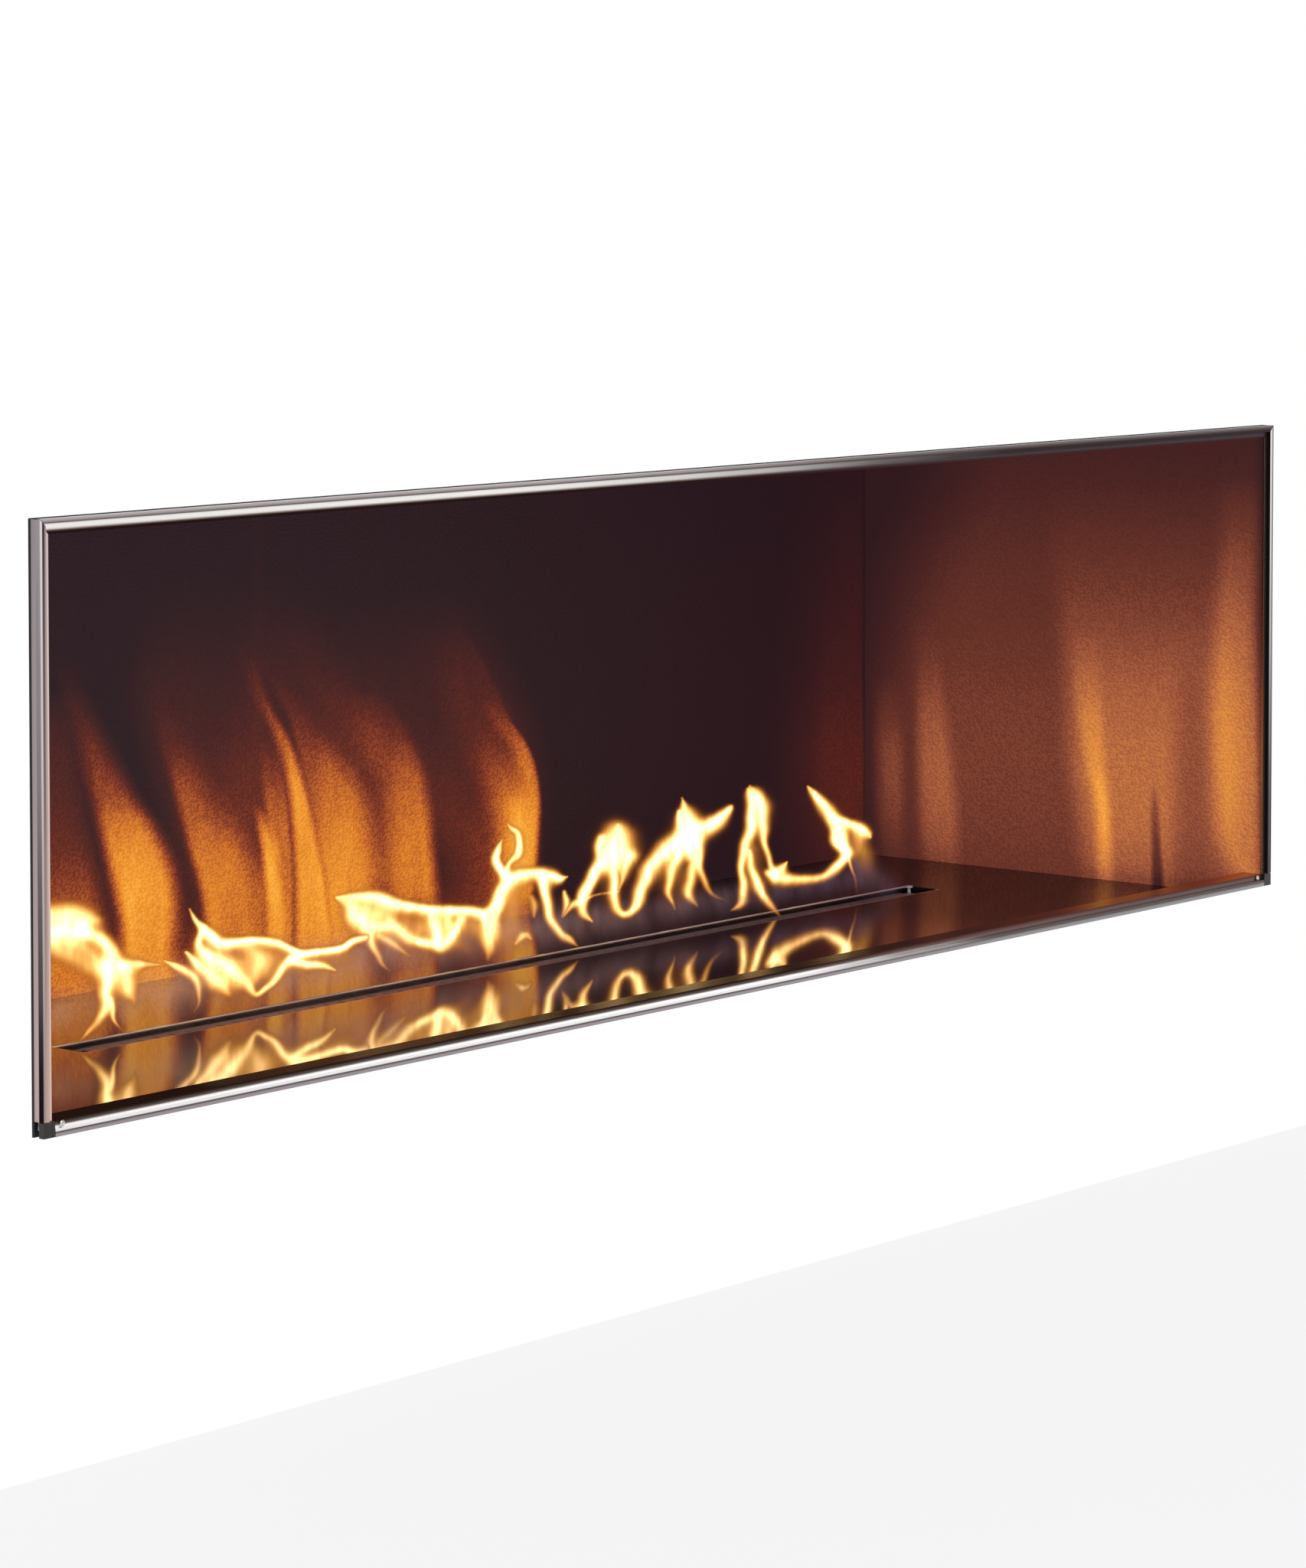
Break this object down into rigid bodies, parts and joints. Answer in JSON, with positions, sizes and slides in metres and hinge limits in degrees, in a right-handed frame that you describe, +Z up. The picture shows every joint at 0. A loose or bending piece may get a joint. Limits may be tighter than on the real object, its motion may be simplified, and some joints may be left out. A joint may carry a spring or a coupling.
{
  "type": "outdoor linear gas fireplace",
  "caption": "Long, low built-in gas fireplace with a thin stainless trim, a hammered steel liner, a gloss black deck and a slotted ribbon burner, with its casing and gas controls.",
  "frame": {"origin": "middle of the footprint, at the underside of the runners", "axes": "+X to the right along the opening, +Y into the wall, +Z up; the room is on the -Y side"},
  "size_m": [1.38, 0.4076, 0.64],
  "materials": {
    "trim_stainless": "satin",
    "corner_black": "matt",
    "gasket_black": "matt",
    "hammered_stainless": "hammered, reflective",
    "deck_black": "gloss black enamel",
    "burner_steel": "heat darkened",
    "galvanised": "zinc coated",
    "casing_black": "matt",
    "brass": "machined",
    "cast_aluminium": "cast",
    "control_black": "satin",
    "ceramic_white": "plain",
    "lead_red": "matt",
    "handle_yellow": "satin",
    "rubber_black": "matt"
  },
  "bodies": {
    "fireplace": {"trim_top": "trim_stainless", "trim_bottom": "trim_stainless", "trim_left": "trim_stainless", "trim_right": "trim_stainless", "trim_screw_left": "trim_stainless", "trim_screw_right": "trim_stainless", "pilot_hood": "trim_stainless", "trim_corner_left": "corner_black", "trim_corner_right": "corner_black", "trim_gasket": "gasket_black", "liner_left": "hammered_stainless", "liner_right": "hammered_stainless", "liner_back": "hammered_stainless", "liner_top": "hammered_stainless", "burner_trough": "burner_steel", "burner_saddle_left": "burner_steel", "burner_saddle_right": "burner_steel", "burner_body": "burner_steel", "burner_top": "burner_steel", "burner_cap_left": "burner_steel", "burner_cap_right": "burner_steel", "pilot_bracket": "burner_steel", "thermocouple": "burner_steel", "front_frame": "galvanised", "nailing_flange_left": "galvanised", "nailing_flange_right": "galvanised", "casing_left": "galvanised", "casing_right": "galvanised", "casing_back": "galvanised", "casing_top": "galvanised", "base_pan": "galvanised", "standoff_front_left": "galvanised", "standoff_front_right": "galvanised", "standoff_back_left": "galvanised", "standoff_back_right": "galvanised", "heat_shield": "galvanised", "rear_spacer_left": "galvanised", "rear_spacer_right": "galvanised", "trough_leg_left": "galvanised", "trough_leg_right": "galvanised", "control_bracket": "galvanised", "inlet_pipe": "galvanised", "runner_left": "casing_black", "runner_right": "casing_black", "drain_nipple": "brass", "gas_jet": "brass", "pilot_tube": "brass", "shutoff_valve": "brass", "flex_connector": "brass", "venturi": "cast_aluminium", "gas_valve": "cast_aluminium", "igniter_body": "control_black", "electrode": "ceramic_white", "ignition_lead": "lead_red", "pipe_grommet": "rubber_black"},
    "deck": {"deck_panel": "deck_black"},
    "knob": {"control_knob": "control_black"},
    "button": {"igniter_button": "lead_red"},
    "lever": {"shutoff_handle": "handle_yellow"},
    "shutter": {"air_shutter": "brass"}
  },
  "joints": [
    {"name": "deck_lift", "type": "slide", "parent": "fireplace", "child": "deck", "axis": [0, 0, 1], "range_m": [0, 0.2]},
    {"name": "knob_turn", "type": "hinge", "parent": "fireplace", "child": "knob", "pos_m": [-0.5407, 0.0178, 0.1581], "axis": [0, 0, 1], "range_deg": [0, 180]},
    {"name": "button_push", "type": "slide", "parent": "fireplace", "child": "button", "axis": [0, 0, -1], "range_m": [0, 0.005], "stiffness_N_per_m": 300, "springref_m": -0.002},
    {"name": "lever_turn", "type": "hinge", "parent": "fireplace", "child": "lever", "pos_m": [-0.615, -0.1048, 0.096], "axis": [0, 0, -1], "range_deg": [0, 90]},
    {"name": "shutter_turn", "type": "hinge", "parent": "fireplace", "child": "shutter", "pos_m": [-0.4535, 0.0178, 0.14], "axis": [1, 0, 0], "range_deg": [0, 60]}
  ]
}
